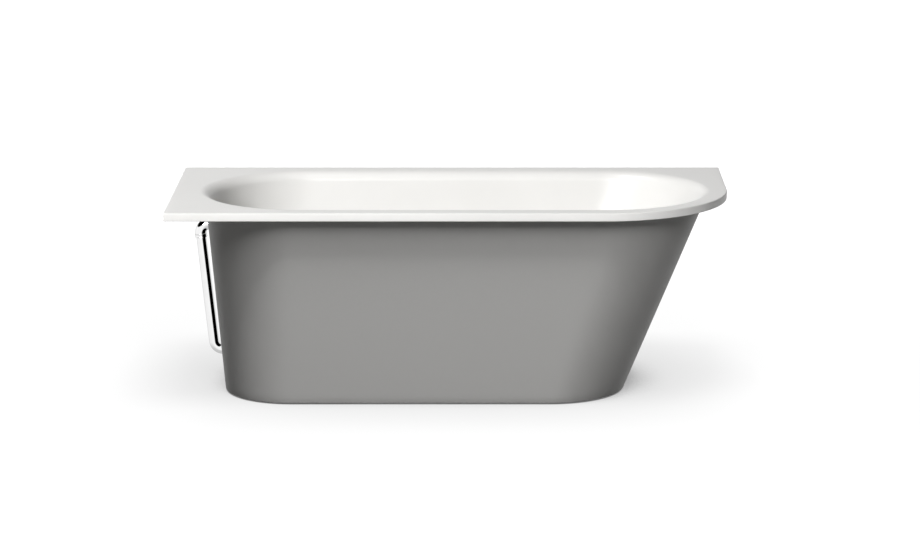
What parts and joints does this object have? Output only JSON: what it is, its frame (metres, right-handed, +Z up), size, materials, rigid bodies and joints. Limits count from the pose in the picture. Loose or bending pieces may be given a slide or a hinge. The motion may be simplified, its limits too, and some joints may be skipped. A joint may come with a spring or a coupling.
{
  "type": "bathtub",
  "caption": "Double-skinned corner bath with a flat rim, a rounded free corner, a raked head end, a satin apron and an exposed overflow pipe; press-to-open plug and levelling feet.",
  "frame": {"origin": "on the floor, under the middle of the rim's overall rectangle", "axes": "+X along the bath from the foot end (overflow and waste) to the raked head end, +Y from the open front to the wall, +Z up"},
  "size_m": [1.7, 0.75, 0.595],
  "materials": {
    "white_acrylic": "gloss",
    "grey_satin": "satin",
    "chrome": "polished",
    "brass": "satin",
    "black_rubber": "matte",
    "zinc_steel": "satin",
    "board": "matte",
    "black_plastic": "matte"
  },
  "bodies": {
    "tub": {"basin": "white_acrylic", "outer_apron": "grey_satin", "overflow_elbow": "chrome", "overflow_pipe": "chrome", "elbow_collar": "chrome", "overflow_rosette": "chrome", "overflow_screw": "chrome", "waste_flange": "chrome", "tail_pipe": "chrome", "waste_body": "brass", "inlet_nut": "brass", "tail_nut": "brass", "pipe_grommet": "black_rubber", "overflow_gasket_inner": "black_rubber", "overflow_gasket_outer": "black_rubber", "elbow_seal": "black_rubber", "inlet_seal": "black_rubber", "tail_seal": "black_rubber", "waste_gasket_top": "black_rubber", "waste_gasket_under": "black_rubber", "leg_channel_foot": "zinc_steel", "leg_channel_head": "zinc_steel", "channel_screws": "zinc_steel", "lock_nuts": "zinc_steel", "base_board": "board"},
    "plug": {"plug_cap": "chrome", "plug_seal": "black_rubber", "plug_stem": "brass"},
    "leveller_front_foot_end": {"foot_stud_front_foot": "zinc_steel", "foot_pad_front_foot": "black_plastic"},
    "leveller_front_head_end": {"foot_stud_front_head": "zinc_steel", "foot_pad_front_head": "black_plastic"},
    "leveller_back_foot_end": {"foot_stud_back_foot": "zinc_steel", "foot_pad_back_foot": "black_plastic"},
    "leveller_back_head_end": {"foot_stud_back_head": "zinc_steel", "foot_pad_back_head": "black_plastic"}
  },
  "joints": [
    {"name": "plug_lift", "type": "slide", "parent": "tub", "child": "plug", "axis": [0, 0, 1], "range_m": [0, 0.009]},
    {"name": "level_front_foot_end", "type": "slide", "parent": "tub", "child": "leveller_front_foot_end", "axis": [0, 0, 1], "range_m": [-0.015, 0.004]},
    {"name": "level_front_head_end", "type": "slide", "parent": "tub", "child": "leveller_front_head_end", "axis": [0, 0, 1], "range_m": [-0.015, 0.004]},
    {"name": "level_back_foot_end", "type": "slide", "parent": "tub", "child": "leveller_back_foot_end", "axis": [0, 0, 1], "range_m": [-0.015, 0.004]},
    {"name": "level_back_head_end", "type": "slide", "parent": "tub", "child": "leveller_back_head_end", "axis": [0, 0, 1], "range_m": [-0.015, 0.004]}
  ]
}
